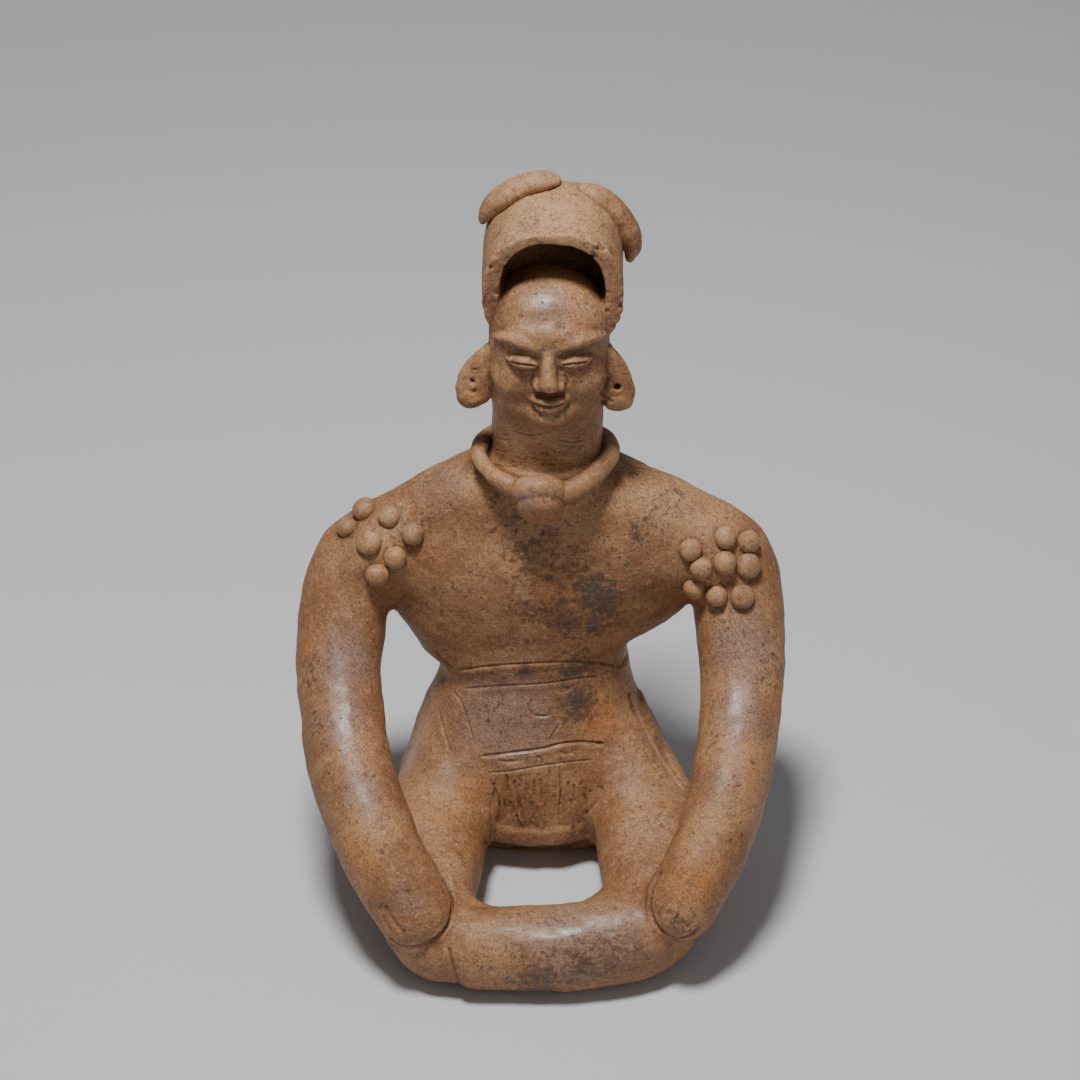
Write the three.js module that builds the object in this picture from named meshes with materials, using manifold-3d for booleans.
import * as THREE from 'three';
import { mergeVertices } from 'three/addons/utils/BufferGeometryUtils.js';
import Module from 'manifold-3d';

// A seated clay figure, modelled by hand and fired in one piece.
// Lengths are in millimetres. +Z is up and the figure faces -Y.
// A place is written [x, forward, height], where forward is the distance in front of the
// middle of the body. A section is a place with two half sizes, the half width first.

const wasm = await Module();
wasm.setup();

const CLAY = { color: 0x9c6f4e, roughness: 0.6, metalness: 0 };
const FLOOR_CUT = { across: 400, deep: 60 };
const SMALLEST_EDGE = 0.03;

const torso = {
  seat: section([0, 5, 6], 63, 38),
  hips: section([0, 6, 24], 69.5, 43),
  belly: section([-2, 4, 50], 61, 40),
  loins: section([-3, 2, 72], 52.5, 34),
  waist: section([-2, 0, 91], 46, 28),
  ribs: section([-7, -3, 103], 49.5, 29),
  chest: section([-5, -5, 113], 58, 30),
  armpits: section([-1, -6, 125], 71, 31),
  shoulders: section([1, -7, 146], 82, 32),
  shoulderTips: section([3, -8, 164], 87.5, 30),
  collar: section([4, -9, 176], 80, 28),
  neckSlope: section([1.5, -9, 189], 60, 26),
  neckRoot: section([0.5, -8, 198], 41, 24),
  throat: section([2, -7, 204.5], 28, 22),
};

const head = {
  neckRoot: section([3, -5, 192], 27, 25),
  neck: section([3, -3, 220], 25.5, 24),
  jaw: section([3.5, -1, 243], 25.5, 24.5),
  cheeks: section([4, -2, 262], 27, 26),
  brow: section([4, -6, 281], 27, 25.5),
};
const CROWN_DOME = 22;

const leftArm = {
  root: section([-56, -7, 161], 22, 22),
  shoulder: section([-74, -5, 154], 23.5, 23),
  deltoid: section([-88.5, -1, 141.5], 21.5, 21.5),
  upperArm: section([-94, 18, 117], 20.5, 20),
  elbow: section([-94, 40, 98], 20, 20),
  forearm: section([-87.5, 74, 80], 20, 19.5),
  wrist: section([-73.5, 103, 59.5], 19, 18.5),
  hand: section([-58, 121, 38], 18, 17.5),
};
const rightArm = {
  root: section([60, -7, 162], 22, 22),
  shoulder: section([78, -5, 155], 24, 23),
  deltoid: section([91.5, -1, 142], 21.5, 21.5),
  upperArm: section([95, 18, 117], 20.5, 20),
  elbow: section([95, 40, 97], 19.5, 19.5),
  forearm: section([87.5, 80, 76], 18.5, 18.5),
  wrist: section([76, 106, 56], 17.5, 17.5),
  hand: section([64.5, 119, 40.5], 16.8, 16.5),
};

// The legs lie flat: their sections give the half height first, then the half width.
const leftLeg = {
  hip: section([-40, 6, 25], 25, 27),
  thigh: section([-50, 45, 25], 25.5, 26.5),
  overKnee: section([-54, 84, 23], 23.5, 24.5),
  knee: section([-54, 106, 21], 21.5, 21.5),
  shin: section([-46, 119, 19], 19.5, 20),
  foot: section([-26, 123, 16], 16, 17),
};
const rightLeg = {
  hip: section([42, 6, 25], 25, 27),
  thigh: section([52, 45, 25], 25.5, 26.5),
  overKnee: section([55, 84, 23], 23.5, 25.5),
  knee: section([55, 103, 22], 22, 22),
  shin: section([45, 117, 21], 21, 21),
  middle: section([20, 123.5, 19.5], 20, 20.5),
  ankle: section([-10, 125, 19.5], 19.5, 20),
  foot: section([-33, 125, 19], 18.5, 19),
};
const FOOT_DOME = 9;

const hipStrip = {
  waist: section([43, 2, 86], 4.5, 5),
  upper: section([47, 3, 76], 6, 6.5),
  middle: section([55, 3, 57], 6.5, 6.5),
  lower: section([62, 3, 37], 6, 6.5),
  floor: section([68, 2, 15], 5.5, 6),
};

const hood = {
  rim: section([5.5, 3, 297.5], 31.5, 31),
  middle: section([6, -14, 300], 31.8, 33.5),
  back: section([6.5, -30, 301.5], 32, 35),
  lip: 1.5,
  backDome: 12,
  wall: 6.2,
  squareness: 2.35,
};
const leftHoodRoll = [
  section([-25.5, -32, 315], 3.6, 5),
  section([-22.5, -32, 323], 4.6, 6.5),
  section([-15, -32, 331.5], 5, 7),
  section([-5, -32, 335.5], 4.8, 7),
  section([4.5, -32, 337], 3.6, 5.5),
];
const rightHoodRoll = [
  section([22, -32, 331.5], 3.8, 5.5),
  section([29, -32, 328.5], 5.2, 7),
  section([35.5, -32, 320.5], 6, 7.5),
  section([40, -32, 310], 5.4, 7),
  section([41.5, -32, 301.5], 3.6, 5),
];

const leftEar = {
  top: section([-22, 1, 267], 4, 4),
  middle: section([-27, 2, 257], 7.5, 4.5),
  lobe: section([-30, 3, 248], 8.5, 4.5),
  hole: [-30.4, 3, 253.9],
};
const rightEar = {
  top: section([29.5, 1, 267], 4, 4),
  middle: section([33, 2, 256], 8, 4.5),
  lobe: section([35, 3, 246.5], 9, 4.5),
  hole: [35, 3, 250.6],
};
const EAR = { dome: 8.5, holeRadius: 1.5 };

const face = {
  chin: { centre: [4, 17, 244.5], half: [11, 8.5, 6.5] },
  upperLip: { centre: [4, 24.5, 255.4], half: [8.5, 3.8, 2] },
  lowerLip: { centre: [4, 24.2, 251.6], half: [7.2, 3.8, 2] },
  leftNostril: { centre: [-0.4, 26, 262.5], half: [3.6, 4, 3.2] },
  rightNostril: { centre: [8.4, 26, 262.5], half: [3.6, 4, 3.2] },
  leftEye: { centre: [-7.5, 20.6, 274.5], half: [7, 4, 3.6] },
  rightEye: { centre: [15.5, 20.6, 274.5], half: [7, 4, 3.6] },
};
const nose = {
  bridge: section([4, 17.5, 283], 3, 3),
  ridge: section([4, 22.5, 273], 3.6, 4),
  tip: section([4, 27, 264.5], 4.6, 4.6),
};

const necklace = {
  line: [[-27.5, 2, 213.5], [-23.8, 12, 210.5], [-14, 21, 208.5], [1, 24.5, 205], [15, 22, 206.5], [27, 11, 210],
    [31.8, 0, 212.5], [26, -17, 211], [3, -28, 209.5], [-20, -17, 211]],
  radius: 4.3,
};
const pendant = { centre: [0, 25.5, 201], half: [12.8, 8.5, 12.5], lean: 20 };

// Places on the front of the figure, [x, rise], as they are seen from ahead and above:
// rise is measured square to that line of sight, from the level of the collar bones.
const FRONT_SIGHT = { lookDown: 35, level: 162 };
const pellets = {
  radius: 5.5,
  height: 3.9,
  left: [[-82, 14], [-70, 10.5], [-90, 5.5], [-79.5, -1], [-59, 3], [-67.5, -8], [-76, -16]],
  right: [[86, 1], [97, -1], [70, -4.5], [75, -12.5], [86, -10.5], [97, -12], [72.5, -22], [83, -26], [94.5, -26.5]],
};

function section(at, first, second) {
  return { at, first, second };
}

function place([x, forward, height]) {
  return new THREE.Vector3(x, -forward, height);
}

const superPower = (value, power) => Math.sign(value) * Math.abs(value) ** (2 / power);

// A closed skin carried along the smooth line through the sections, with a dome on each end.
// side is the way the first half size points, and power 2 gives ellipses, more gives squarer ones.
// The sections stand square to the line, or to a fixed facing where one is given.
function sweep(sections, {
  around = 14, steps = 3, side = [1, 0, 0], facing, power = 2, startDome, endDome, domeRings = 3,
}) {
  const centres = smoothLine(sections.map((s) => place(s.at)));
  const halves = smoothLine(sections.map((s) => new THREE.Vector3(s.first, s.second, 0)));
  const sideways = new THREE.Vector3(...side);
  const quarter = (k) => (k / domeRings) * (Math.PI / 2);
  const bodySteps = steps * (sections.length - 1);

  const rings = [];
  for (let k = 0; k < domeRings; k++)
    rings.push({ t: 0, shrink: Math.sin(quarter(k)), shift: -startDome * Math.cos(quarter(k)) });
  for (let i = 0; i <= bodySteps; i++)
    rings.push({ t: i / bodySteps, shrink: 1, shift: 0 });
  for (let k = domeRings - 1; k >= 0; k--)
    rings.push({ t: 1, shrink: Math.sin(quarter(k)), shift: endDome * Math.cos(quarter(k)) });

  const skin = new THREE.SphereGeometry(1, around, rings.length - 1);
  const position = skin.attributes.position;
  rings.forEach(({ t, shrink, shift }, row) => {
    const along = facing ? new THREE.Vector3(...facing) : centres.getTangent(t);
    const across = sideways.clone().addScaledVector(along, -sideways.dot(along)).normalize();
    const over = along.clone().cross(across);
    const half = halves.getPoint(t);
    const centre = centres.getPoint(t).addScaledVector(along, shift);
    for (let column = 0; column <= around; column++) {
      const angle = (column % around) * ((2 * Math.PI) / around);
      const point = centre.clone()
        .addScaledVector(across, half.x * shrink * superPower(Math.cos(angle), power))
        .addScaledVector(over, -half.y * shrink * superPower(Math.sin(angle), power));
      position.setXYZ(row * (around + 1) + column, ...point);
    }
  });
  return solidOf(skin);
}

function smoothLine(points) {
  return new THREE.CatmullRomCurve3(points, false, 'catmullrom');
}

// The manifold solid of a closed geometry.
function solidOf(geometry) {
  const bare = geometry.index ? geometry.clone() : mergeVertices(geometry);
  bare.deleteAttribute('normal');
  bare.deleteAttribute('uv');
  const merged = mergeVertices(bare, 1e-4);
  return new wasm.Manifold(new wasm.Mesh({
    numProp: 3,
    vertProperties: merged.attributes.position.array,
    triVerts: new Uint32Array(merged.index.array),
  }));
}

function geometryOf(solid) {
  const mesh = solid.getMesh();
  return new THREE.BufferGeometry()
    .setAttribute('position', new THREE.BufferAttribute(mesh.vertProperties, 3))
    .setIndex(new THREE.BufferAttribute(mesh.triVerts, 1));
}

const join = (solids) => solids.reduce((whole, piece) => whole.add(piece));

// The one body meant, without the slivers and tiny edges left where skins cross or nearly touch.
function tidied(solid) {
  return solid.setTolerance(SMALLEST_EDGE).decompose()
    .reduce((best, piece) => (piece.volume() > best.volume() ? piece : best));
}

// A ball stretched to the three half sizes, leant back by an angle and placed.
function ovoid(centre, half, lean = 0) {
  const turn = new THREE.Quaternion().setFromEuler(new THREE.Euler(lean, 0, 0));
  const matrix = new THREE.Matrix4().compose(place(centre), turn, new THREE.Vector3(...half));
  return solidOf(new THREE.SphereGeometry(1, 10, 7).applyMatrix4(matrix));
}

function makeTorso() {
  return sweep(Object.values(torso), {
    around: 22, steps: 2, facing: [0, 0, 1], power: 2.15, startDome: 12, endDome: 8 });
}

function makeArm(arm) {
  return sweep(Object.values(arm), { steps: 2, startDome: 14, endDome: arm.hand.first });
}

function makeLeg(leg, footDome) {
  return sweep(Object.values(leg), { steps: 2, side: [0, 0, 1], startDome: 14, endDome: footDome });
}

function makeHipStrip() {
  return sweep(Object.values(hipStrip), { around: 10, steps: 1, startDome: 4, endDome: 4, domeRings: 2 });
}

function makeHead() {
  return sweep(Object.values(head), {
    around: 20, steps: 2, power: 2.2, startDome: 4, endDome: CROWN_DOME, domeRings: 5 });
}

function makeFace() {
  const applied = Object.values(face).map(({ centre, half }) => ovoid(centre, half));
  return join([...applied, sweep(Object.values(nose), { around: 10, steps: 1, startDome: 3, endDome: 3, domeRings: 2 })]);
}

// A thick-walled cap lying on its side, with its mouth to the front.
function makeHood() {
  const { rim, middle, back, wall } = hood;
  const shape = { around: 24, steps: 1, facing: [0, 1, 0], power: hood.squareness };
  const within = (s, forward) => section([s.at[0], s.at[1] + forward, s.at[2]], s.first - wall, s.second - wall);
  const outer = sweep([rim, middle, back], { ...shape, startDome: hood.lip, endDome: hood.backDome });
  const inner = sweep([within(rim, 8), within(middle, 4), within(back, wall)],
    { ...shape, startDome: 1, endDome: hood.backDome - 2 });
  return outer.subtract(inner);
}

// One roll of clay laid along the back edge of the hood.
function makeHoodRoll(sections) {
  return sweep(sections, { around: 10, steps: 2, side: [0, 0, 1], startDome: 4.5, endDome: 4.5, domeRings: 2 });
}

// A flat lobe hanging at the side of the head, pierced for an ornament.
function makeEar({ top, middle, lobe, hole }) {
  const flap = sweep([top, middle, lobe], { around: 12, steps: 1, startDome: 3, endDome: EAR.dome });
  const [x, forward, height] = hole;
  const pin = new THREE.CylinderGeometry(EAR.holeRadius, EAR.holeRadius, 30, 8).translate(x, -forward, height);
  return flap.subtract(solidOf(pin));
}

// A round roll along a closed line: a torus with its points moved onto it.
function makeNecklace() {
  const line = new THREE.CatmullRomCurve3(necklace.line.map(place), true, 'catmullrom');
  const [around, steps] = [8, 28];
  const skin = new THREE.TorusGeometry(1, 0.25, around, steps);
  for (let j = 0; j <= around; j++)
    for (let i = 0; i <= steps; i++) {
      const along = line.getTangent((i % steps) / steps);
      const over = new THREE.Vector3(0, 0, 1).addScaledVector(along, -along.z).normalize();
      const across = along.clone().cross(over);
      const angle = (j % around) * ((2 * Math.PI) / around);
      const point = line.getPoint((i % steps) / steps)
        .addScaledVector(across, necklace.radius * Math.cos(angle))
        .addScaledVector(over, necklace.radius * Math.sin(angle));
      skin.attributes.position.setXYZ(j * (steps + 1) + i, ...point);
    }
  return solidOf(skin);
}

function makePendant() {
  return ovoid(pendant.centre, pendant.half, THREE.MathUtils.degToRad(pendant.lean));
}

// Puts a flattened ball of clay on the skin wherever a line of sight meets it.
function makePellets(body) {
  const target = new THREE.Mesh(geometryOf(body), new THREE.MeshBasicMaterial());
  const down = THREE.MathUtils.degToRad(FRONT_SIGHT.lookDown);
  const sight = new THREE.Vector3(0, Math.cos(down), -Math.sin(down));
  const rise = new THREE.Vector3(0, Math.sin(down), Math.cos(down));
  const level = new THREE.Vector3(0, 0, FRONT_SIGHT.level);
  return [...pellets.left, ...pellets.right].map(([x, up]) => {
    const start = level.clone().addScaledVector(rise, up).addScaledVector(sight, -500);
    start.x = x;
    const hit = new THREE.Raycaster(start, sight).intersectObject(target)[0];
    const turn = new THREE.Quaternion().setFromUnitVectors(new THREE.Vector3(0, 1, 0), hit.face.normal);
    const matrix = new THREE.Matrix4().compose(
      hit.point, turn, new THREE.Vector3(pellets.radius, pellets.height, pellets.radius));
    return solidOf(new THREE.SphereGeometry(1, 8, 6).applyMatrix4(matrix));
  });
}

function cutFlatBelow(solid) {
  const { across, deep } = FLOOR_CUT;
  return solid.subtract(solidOf(new THREE.BoxGeometry(across, across * 2, deep).translate(0, 0, -deep / 2)));
}

const body = join([
  makeTorso(),
  makeArm(leftArm),
  makeArm(rightArm),
  makeLeg(leftLeg, leftLeg.foot.first),
  makeLeg(rightLeg, FOOT_DOME),
  makeHipStrip(),
  makeHood(),
  makeHoodRoll(leftHoodRoll),
  makeHoodRoll(rightHoodRoll),
  makeHead(),
  makeFace(),
  makeEar(leftEar),
  makeEar(rightEar),
  makeNecklace(),
  makePendant(),
]);
const whole = tidied(cutFlatBelow(join([body, ...makePellets(body)])));

const figure = new THREE.Mesh(geometryOf(whole), new THREE.MeshStandardMaterial({ ...CLAY, flatShading: true }));
figure.name = 'seated_figure';

const model = new THREE.Group();
model.add(figure);
export default model;
